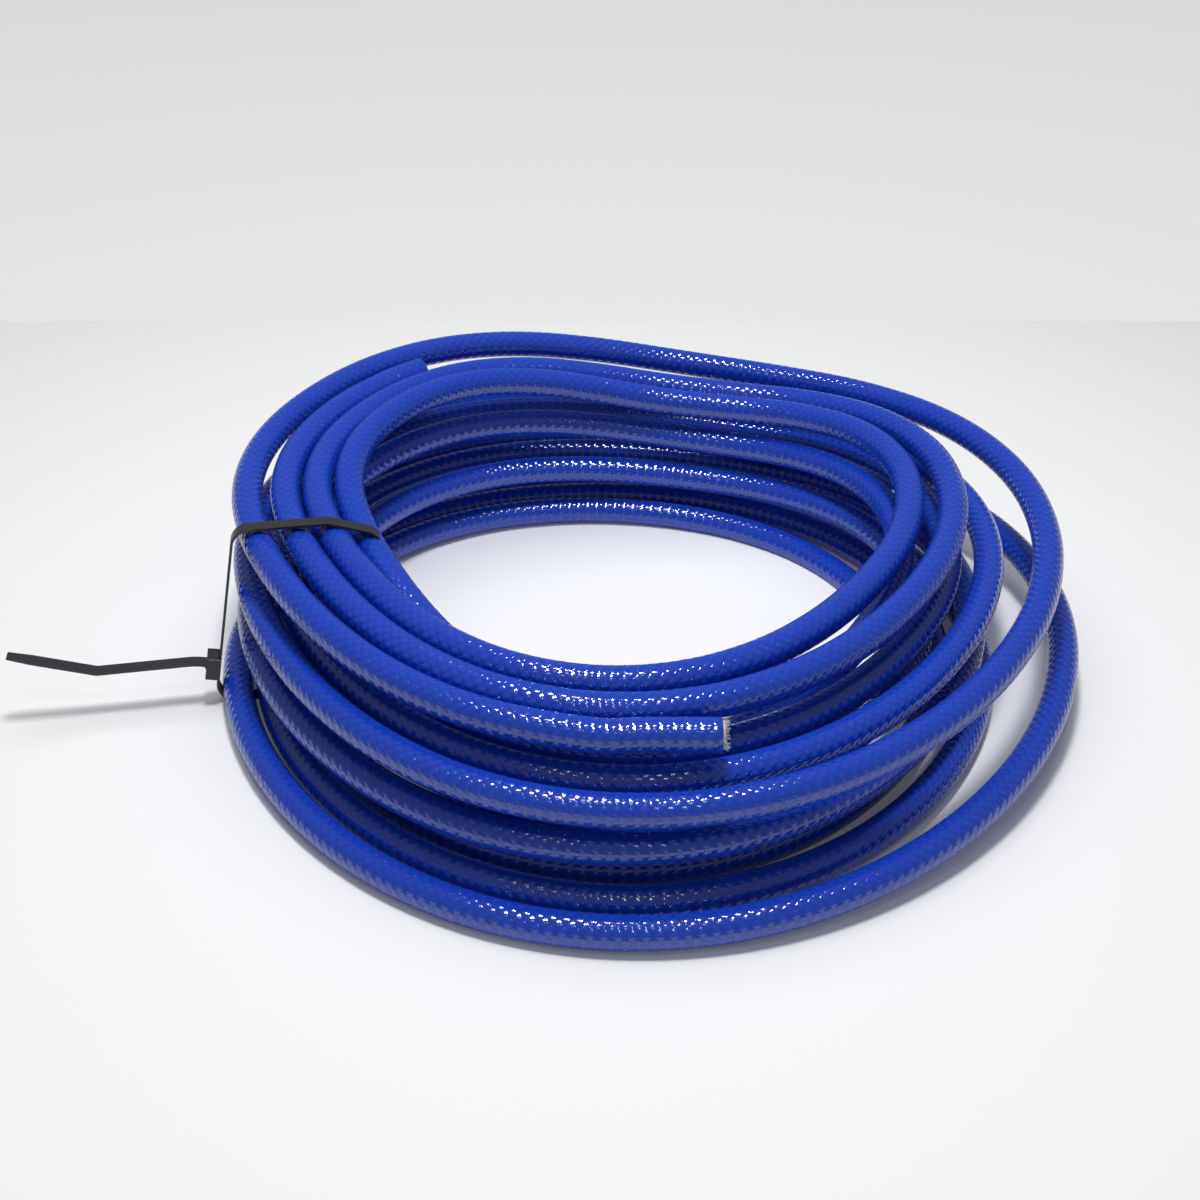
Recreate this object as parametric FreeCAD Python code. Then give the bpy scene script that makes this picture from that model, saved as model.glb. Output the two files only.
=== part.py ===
import FreeCAD, Part
import math
import os

V = FreeCAD.Vector
UP = V(0, 0, 1)
os.makedirs("parts", exist_ok=True)

# A length of braided air hose lying in a coil, held on one side by a cable tie. Millimetres.
# The front, where the free end lies, is -Y, the tie is at the left, -X, and Z = 0 is the floor.
# Seen from above, the hose runs clockwise from its free end: front, left, back, right.

# Hose: cover, textile braid and inner liner, one inside the other.
hose_od = 16.0
braid_od = 12.6
braid_wall = 0.6
hose_bore = 9.5
layer_fit = 0.05
lining_depth = 20.0
braid_stands_out = 0.5
sleeve_overlap = 2.0
cover_sides = 6
lining_sides = 20
cover_side_scale = 0.995
free_run = 54.0
tucked_run = 24.0

# Coil: how its loops lie. A loop's column counts outward and its layer counts upward.
loop_pitch = 17.0
loop_fan = 7.0
layer_rise = 24.0
layer_fan = 8.0
bundle_columns = 3.0
coil_radius = 188.0
radius_loss_per_layer = 6.5
loose_swell = 14.0
swell_from_layer = 0.6
coil_shift_left = 16.0
coil_shift_back = 7.0
lean_left_per_layer = 4.0
lean_back_per_layer = 8.0
lobes = 3
lobe_depth = 5.0
lobe_growth_per_layer = 1.5
lobe_draw_in = 0.4
loose_sway = 0.8
sway_turn = 2.4
tie_azimuth = 190.0
high_azimuth = 104.0
lobe_azimuth = 270.0
quarter_turns = 51
way_step = 0.25

# The coil from its free end, as legs: the quarter turn where each ends, its column and layer there.
# The first turn lies loose outside the top layer and drops to the next one. The spiral then runs
# in, out and in again, down to the floor, and the hose rises inside the coil to finish on top.
coil_legs = [
    (0, 2.5, 3.0),
    (1, 3.0, 3.0),
    (2, 3.05, 3.0),
    (3, 3.1, 2.5),
    (4, 3.05, 2.0),
    (15, 0.3, 2.0),
    (16, 0.05, 1.45),
    (17, 0.25, 1.0),
    (26, 2.9, 1.0),
    (27, 4.1, 0.7),
    (28, 3.15, 0.0),
    (39, 0.35, 0.0),
    (40, -1.05, 1.5),
    (41, -0.2, 3.0),
    (51, 2.3, 3.0),
]

# Cable tie: strap, head and the sprung pawl that the strap's teeth click past.
strap_width = 7.6
strap_thickness = 1.3
strap_seat = 0.9
strap_floor_gap = 0.2
strap_bend = 2.4
head_height = 21.0
head_length = 13.0
head_width = 12.0
head_depth = 7.5
head_corner = 1.0
head_share_above_slot = 0.42
slot_gap = 0.3
tail_drop = 12.0
tail_rise = 19.0
tail_curve = 30.0
tail_kink = 5.0
tail_first_run = 46.0
tail_last_run = 44.0
tip_length = 12.0
tip_width = 5.4
tooth_pitch = 2.0
tooth_width = 5.6
tooth_depth = 0.45
tooth_crest = 0.8
tooth_foot = 0.1
pawl_width = 5.0
pawl_length = 4.6
pawl_root = 1.3
pawl_gap = 0.3
pawl_setback = 0.4
pawl_swing = 16.0
pawl_nose_share = 0.35
pawl_teeth = 3
root_overlap = 2.0
plane_slack = 0.01
tip_cut_reach = 1.0

hose_radius = hose_od / 2
strap_half = strap_thickness / 2
floor_flat = hose_od / 10
floor_height = hose_radius - floor_flat
tie_lift = floor_flat + strap_floor_gap + strap_thickness + strap_seat
tie_direction = math.radians(tie_azimuth)
tie_out = V(math.cos(tie_direction), math.sin(tie_direction), 0)
tie_along = UP.cross(tie_out)


def column_and_layer(quarter):
    for (start, c0, k0), (end, c1, k1) in zip(coil_legs, coil_legs[1:]):
        if quarter <= end:
            share = (quarter - start) / (end - start)
            return c0 + (c1 - c0) * share, k0 + (k1 - k0) * share


def azimuth_at(quarter):
    return math.radians(270 - 90 * quarter)


def loop_place(quarter):
    # Tight together at the tie, the loops fan out towards the far side and stand highest at the back.
    # On the far side the upper layers swell out over the lower ones, and no loop is quite round: each
    # stands out in three soft lobes, one of them at the front.
    column, layer = column_and_layer(quarter)
    azimuth = azimuth_at(quarter)
    loose = (1 - math.cos(azimuth - tie_direction)) / 2
    high = (1 + math.cos(azimuth - math.radians(high_azimuth))) / 2
    pitch = loop_pitch + loop_fan * loose
    sway = loose_sway * loose * math.sin(sway_turn * quarter)
    swell = loose_swell * (layer - swell_from_layer) * loose ** 2
    lobe = math.cos(lobes * (azimuth - math.radians(lobe_azimuth))) - lobe_draw_in
    bulge = swell + (lobe_depth + lobe_growth_per_layer * layer) * lobe
    radius = coil_radius - radius_loss_per_layer * layer + (column - bundle_columns / 2) * pitch + sway + bulge
    x = -coil_shift_left - lean_left_per_layer * layer + radius * math.cos(azimuth)
    y = coil_shift_back + lean_back_per_layer * layer + radius * math.sin(azimuth)
    z = floor_height + layer * (layer_rise + layer_fan * high) + tie_lift * (1 - loose) ** 2
    return V(x, y, z)


def coil_stations():
    places = [loop_place(q) for q in range(quarter_turns + 1)]
    ways = [V(-1, 0, 0)]
    for q in range(1, quarter_turns):
        ways.append((loop_place(q + way_step) - loop_place(q - way_step)).normalize())
    return places, ways


def two_arcs(p0, t0, p1, t1):
    # The pair of tangent arcs from one place and direction to the next, and where they meet.
    v = p1 - p0
    t = t0 + t1
    a = 2 * (1 - t0.dot(t1))
    b = 2 * v.dot(t)
    reach = (math.sqrt(b * b + 4 * a * v.dot(v)) - b) / (2 * a)
    q0 = p0 + t0 * reach
    q1 = p1 - t1 * reach
    middle = (q0 + q1) * 0.5
    way = (q1 - q0).normalize()
    return arc_from(p0, t0, middle), arc_from(middle, way, p1), middle, way


def arc_from(start, way, end):
    chord = end - start
    side = way.cross(chord).cross(way).normalize()
    radius = chord.dot(chord) / (2 * side.dot(chord))
    centre = start + side * radius
    crown = centre + ((start + end) * 0.5 - centre).normalize() * radius
    return Part.Arc(start, crown, end)


def cover_route(places, ways):
    # The faceted length of the hose, which runs a little way into the round end at either side.
    start = places[0] - ways[0] * (free_run - lining_depth + sleeve_overlap)
    edges = [Part.LineSegment(start, places[0]).toShape()]
    for i in range(len(ways) - 1):
        first, second, middle, way = two_arcs(places[i], ways[i], places[i + 1], ways[i + 1])
        edges += [first.toShape(), second.toShape()]
    edges.pop()
    end = middle + way * (tucked_run - lining_depth + sleeve_overlap)
    edges.append(Part.LineSegment(middle, end).toShape())
    ends = [(places[0] - ways[0] * free_run, ways[0]), (middle + way * tucked_run, way * -1)]
    return Part.Wire(edges), ends


def least_gap(route):
    # The smallest clear space between loops, on points a few millimetres apart along the route.
    step = hose_od / 4
    points = route.discretize(Distance=step)
    apart = int(coil_radius / step)
    cell = hose_od * 2
    grid = {}
    least = cell
    for i, p in enumerate(points):
        key = (int(p.x // cell), int(p.y // cell), int(p.z // cell))
        for dx in (-1, 0, 1):
            for dy in (-1, 0, 1):
                for dz in (-1, 0, 1):
                    for j in grid.get((key[0] + dx, key[1] + dy, key[2] + dz), ()):
                        if i - j > apart:
                            least = min(least, points[j].distanceToPoint(p))
        grid.setdefault(key, []).append(i)
    return least - hose_od


def make_cover(route, ends):
    start = route.Edges[0].valueAt(route.Edges[0].FirstParameter)
    way = (route.Edges[0].valueAt(route.Edges[0].LastParameter) - start).normalize()
    side = UP.cross(way).normalize()
    over = way.cross(side)
    corner = hose_radius * cover_side_scale
    ring = []
    for i in range(cover_sides + 1):
        angle = 2 * math.pi * (i + 0.5) / cover_sides
        ring.append(start + side * (corner * math.cos(angle)) + over * (corner * math.sin(angle)))
    cover = route.makePipeShell([Part.makePolygon(ring)], True, False)
    print("cover volume by section and length:", round(cover.Volume / (section_area(corner) * route.Length), 4))
    for face_centre, inward in ends:
        sleeve = Part.makeCylinder(hose_radius, lining_depth, face_centre, inward)
        cover = cover.fuse(sleeve)
    for face_centre, inward in ends:
        cover = cover.cut(Part.makeCylinder(braid_od / 2 + layer_fit, lining_depth, face_centre, inward))
    box = cover.BoundBox
    below = Part.makeBox(box.XLength, box.YLength, hose_od, V(box.XMin, box.YMin, -hose_od))
    return cover.cut(below)


def section_area(corner):
    return cover_sides / 2 * corner ** 2 * math.sin(2 * math.pi / cover_sides)


def ring_solid(outer, inner, length, base, way):
    # A ring of many flat sides, whose outer corners and inner faces lie on the two radii.
    side = UP.cross(way).normalize()
    over = way.cross(side)
    wires = []
    for radius in (outer, inner / math.cos(math.pi / lining_sides)):
        corners = []
        for i in range(lining_sides + 1):
            angle = 2 * math.pi * i / lining_sides
            corners.append(base + side * (radius * math.cos(angle)) + over * (radius * math.sin(angle)))
        wires.append(Part.makePolygon(corners))
    return Part.Face(wires, "Part::FaceMakerBullseye").extrude(way * length)


def make_linings(face_centre, inward):
    braid = ring_solid(braid_od / 2, braid_od / 2 - braid_wall, lining_depth + braid_stands_out - layer_fit,
                       face_centre - inward * braid_stands_out, inward)
    liner = ring_solid(braid_od / 2 - braid_wall - layer_fit, hose_bore / 2, lining_depth - layer_fit,
                       face_centre, inward)
    return braid, liner


def tie_sections(route):
    # Where the loops pass through the tie's upright plane, as points across and up in that plane.
    points = route.discretize(Distance=1.0)
    centre = V(-coil_shift_left, coil_shift_back, 0)
    found = []
    for a, b in zip(points, points[1:]):
        da = (a - centre).dot(tie_along)
        db = (b - centre).dot(tie_along)
        if da * db <= 0 and (a - centre).dot(tie_out) > 0:
            p = a + (b - a) * (da / (da - db))
            found.append(((p - centre).dot(tie_out), p.z))
    return found, centre


def turn_side(a, b, c):
    return (b[0] - a[0]) * (c[1] - a[1]) - (b[1] - a[1]) * (c[0] - a[0])


def hull_clockwise(points):
    chains = []
    for ordered in (sorted(points), sorted(points, reverse=True)):
        chain = []
        for p in ordered:
            while len(chain) > 1 and turn_side(chain[-2], chain[-1], p) >= 0:
                chain.pop()
            chain.append(p)
        chains += chain[:-1]
    return chains


def in_plane(p):
    return V(p[0], 0, p[1])


def taut_strap_path(points):
    # The strap pulled tight round the bundle: down from the head, under it, up inside and back over.
    hull = hull_clockwise(points)
    head_edge = max(range(len(hull)), key=lambda i: edge_through_head(hull, i))
    hull = hull[head_edge + 1:] + hull[:head_edge + 1]
    reach = hose_radius + strap_seat + strap_half
    corners = [in_plane(p) for p in hull]
    normals = []
    for i, corner in enumerate(corners):
        way = (corner - corners[i - 1]).normalize()
        normals.append(V(-way.z, 0, way.x))
    outer = normals[0]
    share = (head_height - corners[-1].z) / (corners[0].z - corners[-1].z)
    seat = corners[-1] + (corners[0] - corners[-1]) * share + outer * reach
    down = V(outer.z, 0, -outer.x)
    edges = []
    here = seat + down * root_overlap
    for i, corner in enumerate(corners):
        n0 = normals[i]
        n1 = normals[(i + 1) % len(corners)]
        start = corner + n0 * reach
        end = corner + n1 * reach
        edges.append(Part.LineSegment(here, start).toShape())
        edges.append(Part.Arc(start, corner + (n0 + n1).normalize() * reach, end).toShape())
        here = end
    return edges, here, seat, outer, down


def edge_through_head(hull, i):
    # The edge of the hull that passes the head's height on the outer side scores its distance out.
    (u0, z0), (u1, z1) = hull[i], hull[(i + 1) % len(hull)]
    if (z0 - head_height) * (z1 - head_height) > 0:
        return -1.0
    return (u0 + u1) / 2


def turned(way, degrees):
    angle = math.radians(degrees)
    return V(way.x * math.cos(angle) - way.z * math.sin(angle), 0,
             way.x * math.sin(angle) + way.z * math.cos(angle))


def bend(start, way, degrees, radius):
    # An arc that turns the path by so many degrees, to the left of its way if positive.
    side = turned(way, 90 if degrees > 0 else -90)
    centre = start + side * radius
    new_way = turned(way, degrees)
    new_side = turned(new_way, 90 if degrees > 0 else -90)
    half_side = turned(side, degrees / 2)
    return Part.Arc(start, centre - half_side * radius, centre - new_side * radius).toShape(), \
        centre - new_side * radius, new_way


def tail_edges(here, seat, down):
    # Down the outer side to the head, a sharp turn out through it, then the cut-free tail.
    turn_at = seat - down * strap_bend
    edges = [Part.LineSegment(here, turn_at).toShape()]
    arc, place, way = bend(turn_at, down, 90, strap_bend)
    edges.append(arc)
    through = place + way * head_depth
    edges.append(Part.LineSegment(place, through).toShape())
    arc, place, way = bend(through, way, -tail_drop, tail_curve)
    edges.append(arc)
    tooth_start = place
    kink = place + way * tail_first_run
    edges.append(Part.LineSegment(place, kink).toShape())
    tooth_way = way
    arc, place, way = bend(kink, way, tail_rise, tail_kink)
    edges.append(arc)
    tip = place + way * tail_last_run
    edges.append(Part.LineSegment(place, tip).toShape())
    return edges, tooth_start, tooth_way, tip, way


def sweep_strap(edges, thickness, width):
    wire = Part.Wire(edges)
    start = edges[0].valueAt(edges[0].FirstParameter)
    way = (edges[0].valueAt(edges[0].LastParameter) - start).normalize()
    side = turned(way, 90) * (thickness / 2)
    half = V(0, width / 2, 0)
    ring = [start + side + half, start - side + half, start - side - half, start + side - half]
    return wire.makePipeShell([Part.makePolygon(ring + ring[:1])], True, False)


def prism(points, width):
    face = Part.Face(Part.makePolygon(points + points[:1]))
    return face.extrude(V(0, width, 0)).translated(V(0, -width / 2, 0))


def tooth_cuts(start, way, count):
    # Saw teeth across the strap's lower face, steep on the side that the pawl holds.
    under = turned(way, -90)
    cuts = []
    for i in range(count):
        a = start + way * (i * tooth_pitch) + under * (strap_half + plane_slack)
        notch = [
            a,
            a + way * (tooth_pitch * tooth_crest),
            a + way * (tooth_pitch * tooth_foot) - under * tooth_depth,
        ]
        cuts.append(prism(notch, tooth_width))
    return Part.makeCompound(cuts)


def tip_cuts(tip, way):
    # The tail narrows to its tip on both edges.
    cuts = []
    over = turned(way, 90)
    for sign in (1, -1):
        ring = [
            tip - way * tip_length + V(0, sign * strap_width / 2, 0),
            tip + way * tip_cut_reach + V(0, sign * tip_width / 2, 0),
            tip + way * tip_cut_reach + V(0, sign * strap_width, 0),
            tip - way * tip_length + V(0, sign * strap_width, 0),
        ]
        ring = [p - over * strap_thickness for p in ring]
        cuts.append(Part.Face(Part.makePolygon(ring + ring[:1])).extrude(over * (2 * strap_thickness)))
    return Part.makeCompound(cuts)


def head_block(seat, outer, down):
    # From the strap's inner face outwards, with its corners rounded, the slot a little above its middle.
    base = seat - outer * strap_half
    a = base - down * (head_length * head_share_above_slot)
    b = a + down * head_length
    block = prism([a, b, b + outer * head_depth, a + outer * head_depth], head_width)
    sharp = [e for e in block.Edges if abs(e.tangentAt(e.FirstParameter).dot(outer)) > 0.99]
    return block.makeFillet(head_corner, sharp)


def pawl_points(seat, outer, down, grow):
    # Side view of the pawl, or with some growth of its pocket: its hinge end is next to the bundle,
    # and its teeth point up at the strap. The pocket's floor falls away so that the pawl can swing.
    face = strap_half + pawl_gap
    origin = seat + outer * (strap_bend + pawl_setback)
    top = origin + down * (face - grow)
    root = top
    swing = math.radians(pawl_swing)
    points = []
    if grow:
        root_back = grow + pawl_root / 2
        root = top - outer * root_back
        points.append(root)
        points.append(top + outer * head_depth)
        fall = (head_depth + root_back) * math.tan(swing)
        points.append(points[-1] + down * (pawl_root + fall + 2 * grow))
    else:
        points.append(root)
        tooth = pawl_length / pawl_teeth
        for i in range(pawl_teeth):
            points.append(top + outer * (tooth * (i + tooth_crest)))
            points.append(top + outer * (tooth * (i + 1)) + down * tooth_depth)
        nose = pawl_length * math.sin(swing) * pawl_nose_share
        points.append(points[-1] + down * (pawl_root + nose - tooth_depth))
    points.append(root + down * (pawl_root + 2 * grow))
    return points


def place_tie(shape, centre):
    shape = shape.copy()
    shape.rotate(V(0, 0, 0), UP, tie_azimuth)
    shape.translate(centre)
    return shape


def make_tie(route):
    points, centre = tie_sections(route)
    loop, here, seat, outer, down = taut_strap_path(points)
    tail, tooth_start, tooth_way, tip, tip_way = tail_edges(here, seat, down)
    strap = sweep_strap(loop + tail, strap_thickness, strap_width)
    channel = sweep_strap(tail[:3], strap_thickness + 2 * slot_gap, strap_width + 2 * slot_gap)
    head = head_block(seat, outer, down).cut(channel)
    head = head.cut(prism(pawl_points(seat, outer, down, pawl_gap), pawl_width + 2 * pawl_gap))
    tie = strap.fuse(head)
    tie = tie.cut(tooth_cuts(tooth_start, tooth_way, int(tail_first_run / tooth_pitch) - 1))
    tie = tie.cut(tooth_cuts(seat + outer * (strap_bend + pawl_setback), outer, pawl_teeth))
    tie = tie.cut(tip_cuts(tip, tip_way))
    pawl = prism(pawl_points(seat, outer, down, 0), pawl_width)
    hinge = seat + outer * (strap_bend + pawl_setback) + down * (strap_half + pawl_gap + pawl_root / 2)
    knuckle = Part.makeCylinder(pawl_root / 2, pawl_width, hinge - V(0, pawl_width / 2, 0), V(0, 1, 0))
    pawl = pawl.fuse(knuckle)
    print("strap length:", round(Part.Wire(loop + tail).Length, 1), "loops in the tie:", len(points))
    hinge_point = hinge.x * tie_out + UP * hinge.z + centre
    return place_tie(tie, centre), place_tie(pawl, centre), hinge_point


places, ways = coil_stations()
route, ends = cover_route(places, ways)
print("hose length:", round(route.Length + 2 * (lining_depth - sleeve_overlap)))
print("least gap between loops:", round(least_gap(route), 2))

solids = {"hose_cover": make_cover(route, ends)}
for name, (face_centre, inward) in zip(("free_end", "tucked_end"), ends):
    braid, liner = make_linings(face_centre, inward)
    solids["braid_" + name] = braid
    solids["liner_" + name] = liner
tie, pawl, hinge_point = make_tie(route)
solids["cable_tie"] = tie
solids["cable_tie_pawl"] = pawl

# The origin is on the floor under the middle of the whole object.
whole = Part.makeCompound(list(solids.values())).optimalBoundingBox()
to_middle = V(-(whole.XMin + whole.XMax) / 2, -(whole.YMin + whole.YMax) / 2, 0)
print("moved by:", to_middle, "box:", whole.XLength, whole.YLength, whole.ZMin, whole.ZMax)
print("pawl hinge at:", hinge_point + to_middle, "axis:", tie_along)
for name, solid in solids.items():
    solid = solid.translated(to_middle)
    print(name, "solids", len(solid.Solids), "valid", solid.isValid(), "volume", round(solid.Volume, 1))
    solid.exportStep("parts/" + name + ".step")
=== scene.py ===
import logging
import math
from dataclasses import dataclass, field
from enum import Enum
from typing import Any

import bmesh
import bpy
from mathutils import Matrix, Vector


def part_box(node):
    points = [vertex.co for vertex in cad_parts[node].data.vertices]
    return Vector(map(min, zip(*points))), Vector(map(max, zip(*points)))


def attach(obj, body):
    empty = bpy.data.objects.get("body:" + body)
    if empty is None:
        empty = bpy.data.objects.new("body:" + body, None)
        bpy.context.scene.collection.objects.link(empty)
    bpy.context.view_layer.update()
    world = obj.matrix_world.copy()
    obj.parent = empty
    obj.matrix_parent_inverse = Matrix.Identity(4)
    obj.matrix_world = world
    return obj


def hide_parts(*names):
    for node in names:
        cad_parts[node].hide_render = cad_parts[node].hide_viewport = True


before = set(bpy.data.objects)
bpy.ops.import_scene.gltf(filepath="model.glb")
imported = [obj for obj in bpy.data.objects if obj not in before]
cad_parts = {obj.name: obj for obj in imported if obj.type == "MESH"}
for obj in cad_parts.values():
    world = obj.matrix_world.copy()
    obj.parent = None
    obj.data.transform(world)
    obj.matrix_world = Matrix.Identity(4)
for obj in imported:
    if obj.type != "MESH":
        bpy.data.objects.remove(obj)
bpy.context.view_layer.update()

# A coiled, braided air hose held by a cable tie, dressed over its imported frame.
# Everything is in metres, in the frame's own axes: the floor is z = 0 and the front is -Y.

log = logging.getLogger("air_hose")

Colour = tuple[float, float, float]
Legs = tuple[tuple[int, float, float], ...]

# The body of the frame that every new piece rides on.
COIL_BODY = "coil"


class End(Enum):
    """The two cut ends of the hose, by the words that end the names of their nodes."""

    FREE = "free_end"
    TUCKED = "tucked_end"


# Node trees.


class Graph:
    """Adds nodes to one node tree and joins their sockets."""

    def __init__(self, tree: bpy.types.NodeTree) -> None:
        """Keep the tree that the nodes go to.

        Args:
            tree: A shader or geometry node tree.
        """
        self.tree = tree

    def add(self, kind: str, values: dict[Any, Any] | None = None, **settings: Any) -> bpy.types.Node:
        """Add one node. Its settings are made before its inputs are filled.

        Args:
            kind: The node's type name.
            values: For each input, by name or number, its value or the output that feeds it.
            settings: Properties of the node itself, such as its operation.

        Returns:
            The new node.
        """
        node = self.tree.nodes.new(kind)
        for name, value in settings.items():
            setattr(node, name, value)
        for key, value in (values or {}).items():
            if isinstance(value, bpy.types.NodeSocket):
                self.tree.links.new(value, node.inputs[key])
            else:
                node.inputs[key].default_value = value
        return node

    def math(self, operation: str, first: Any, second: Any = 0.0, third: Any = 0.0) -> bpy.types.NodeSocket:
        """Add a Math node and return its output."""
        kind = "ShaderNodeMath"
        return self.add(kind, {0: first, 1: second, 2: third}, operation=operation).outputs[0]

    def blend(self, share: Any, low: Any, high: Any) -> bpy.types.NodeSocket:
        """Return the value that lies a share of the way from low to high."""
        return self.add("ShaderNodeMix", {0: share, 2: low, 3: high}, data_type="FLOAT").outputs[0]

    def tint(self, share: Any, low: Any, high: Any) -> bpy.types.NodeSocket:
        """Return the colour that lies a share of the way from low to high."""
        return self.add("ShaderNodeMix", {0: share, 6: low, 7: high}, data_type="RGBA").outputs[2]

    def spread(
        self, value: Any, low: float, high: float, to_low: float = 0.0, to_high: float = 1.0
    ) -> bpy.types.NodeSocket:
        """Return a value moved from one range to another, held inside it."""
        numbers = {0: value, 1: low, 2: high, 3: to_low, 4: to_high}
        return self.add("ShaderNodeMapRange", numbers).outputs[0]

    def noise(self, place: Any, scale: Any, detail: float) -> bpy.types.NodeSocket:
        """Return cloudy noise from 0 to 1 at a place."""
        values = {"Vector": place, "Scale": scale, "Detail": detail}
        return self.add("ShaderNodeTexNoise", values).outputs[0]

    def bump(self, height: Any, depth: float) -> bpy.types.NodeSocket:
        """Return a normal that a relief of this height, from 0 to 1, tilts as if it were so deep."""
        return self.add("ShaderNodeBump", {"Height": height, "Strength": 1.0, "Distance": depth}).outputs[0]


def socket(tree: bpy.types.NodeTree, name: str, way: str, kind: str, value: Any = None) -> str:
    """Add a named socket to a node group.

    Args:
        tree: The group.
        name: The socket's name.
        way: INPUT or OUTPUT.
        kind: Float, Int, Vector, Color, Material or Geometry.
        value: The value that an input has if nothing feeds it.

    Returns:
        The socket's identifier.
    """
    made = tree.interface.new_socket(name=name, in_out=way, socket_type="NodeSocket" + kind)
    if value is not None:
        made.default_value = value
    return made.identifier


def rgba(colour: Colour) -> tuple[float, float, float, float]:
    """Return a colour with full alpha."""
    return (*colour, 1.0)


def wear_group() -> bpy.types.NodeTree:
    """Make the group that gives handled plastics their faint marks.

    Returns:
        A group with a Dust mask and a Roughness that changes over the surface.
    """
    patch_from, patch_to = 0.42, 0.68
    speck_from, speck_to = 0.5, 0.75
    specks_to_a_patch = 14.0
    tree = bpy.data.node_groups.new("handling_marks", "ShaderNodeTree")
    socket(tree, "Scale", "INPUT", "Float", 30.0)
    socket(tree, "Roughness", "INPUT", "Float", 0.3)
    socket(tree, "Unevenness", "INPUT", "Float", 0.1)
    socket(tree, "Dust", "OUTPUT", "Float")
    socket(tree, "Roughness", "OUTPUT", "Float")
    g = Graph(tree)
    given = g.add("NodeGroupInput").outputs
    place = g.add("ShaderNodeTexCoord").outputs["Object"]
    cloud = g.noise(place, given["Scale"], 5.0)
    speck = g.noise(place, g.math("MULTIPLY", given["Scale"], specks_to_a_patch), 3.0)
    patch = g.spread(cloud, patch_from, patch_to)
    dust = g.math("MULTIPLY", patch, g.spread(speck, speck_from, speck_to))
    uneven = g.math("MULTIPLY", g.math("SUBTRACT", cloud, 0.5), given["Unevenness"])
    rough = g.math("ADD", given["Roughness"], uneven)
    g.add("NodeGroupOutput", {"Dust": dust, "Roughness": rough})
    return tree


def braid_group() -> bpy.types.NodeTree:
    """Make the group for the relief of a diamond braid, seen through the cover or bare.

    The strands of one family run round the hose one way and those of the other the other way, each
    over and under the next in turn. Along is the way along the hose in metres, Round a direction
    across it.

    Returns:
        A group with the relief's Height, from 0 to 1, and Groove, which is 1 between the strands.
    """
    tree = bpy.data.node_groups.new("braid_relief", "ShaderNodeTree")
    socket(tree, "Along", "INPUT", "Float")
    socket(tree, "Round", "INPUT", "Vector")
    socket(tree, "Pitch", "INPUT", "Float", 0.006)
    socket(tree, "Strands", "INPUT", "Float", 8.0)
    socket(tree, "Threads", "INPUT", "Float", 4.0)
    socket(tree, "Thread Share", "INPUT", "Float", 0.15)
    socket(tree, "Crown", "INPUT", "Float", 1.5)
    socket(tree, "Arch", "INPUT", "Float", 0.8)
    socket(tree, "Rib", "INPUT", "Float", 0.3)
    socket(tree, "Height", "OUTPUT", "Float")
    socket(tree, "Groove", "OUTPUT", "Float")
    g = Graph(tree)
    given = g.add("NodeGroupInput").outputs
    half_turn = math.pi
    across = g.add("ShaderNodeSeparateXYZ", {0: given["Round"]}).outputs
    turn = g.math("DIVIDE", g.math("ARCTAN2", across[1], across[0]), math.tau)
    steps = g.math("DIVIDE", given["Along"], given["Pitch"])
    lanes = g.math("MULTIPLY", turn, given["Strands"])
    one, other = g.math("ADD", steps, lanes), g.math("SUBTRACT", steps, lanes)
    in_one, in_other = g.math("FRACT", one), g.math("FRACT", other)
    count = g.math("ADD", g.math("FLOOR", one), g.math("FLOOR", other))
    upper = g.math("MULTIPLY", g.math("FRACT", g.math("MULTIPLY", count, 0.5)), 2.0)
    lane = g.blend(upper, in_one, in_other)
    run = g.blend(upper, in_other, in_one)
    crown = g.math("POWER", g.math("SINE", g.math("MULTIPLY", lane, half_turn)), given["Crown"])
    arch = g.math("POWER", g.math("SINE", g.math("MULTIPLY", run, half_turn)), given["Arch"])
    swell = g.math("MULTIPLY", crown, arch)
    thread_turn = g.math("MULTIPLY", g.math("MULTIPLY", lane, given["Threads"]), half_turn)
    thread = g.math("POWER", g.math("ABSOLUTE", g.math("SINE", thread_turn)), 2.0)
    woven = g.blend(given["Thread Share"], swell, g.math("MULTIPLY", thread, swell))
    wave = g.math("COSINE", g.math("MULTIPLY", steps, math.tau))
    height = g.blend(given["Rib"], woven, g.math("MULTIPLY_ADD", wave, 0.5, 0.5))
    groove = g.math("SUBTRACT", 1.0, swell)
    g.add("NodeGroupOutput", {"Height": height, "Groove": groove})
    return tree


# Finishes.


def seen_share(g: Graph) -> bpy.types.NodeSocket:
    """Return 1 for a ray from the camera, a reflection or a pane, and 0 for one that only lights."""
    ray = g.add("ShaderNodeLightPath").outputs
    direct = g.math("ADD", ray["Is Camera Ray"], ray["Is Glossy Ray"])
    return g.math("MINIMUM", g.math("ADD", direct, ray["Is Transmission Ray"]), 1.0)


def plain_material(name: str) -> tuple[bpy.types.Material, Graph, bpy.types.Node]:
    """Make an empty material with a Principled BSDF in it.

    Args:
        name: The material's name.

    Returns:
        The material, its graph and the shader node.
    """
    material = bpy.data.materials.new(name)
    material.use_nodes = True
    material.node_tree.nodes.clear()
    g = Graph(material.node_tree)
    shader = g.add("ShaderNodeBsdfPrincipled")
    g.add("ShaderNodeOutputMaterial", {"Surface": shader.outputs[0]})
    return material, g, shader


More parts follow.
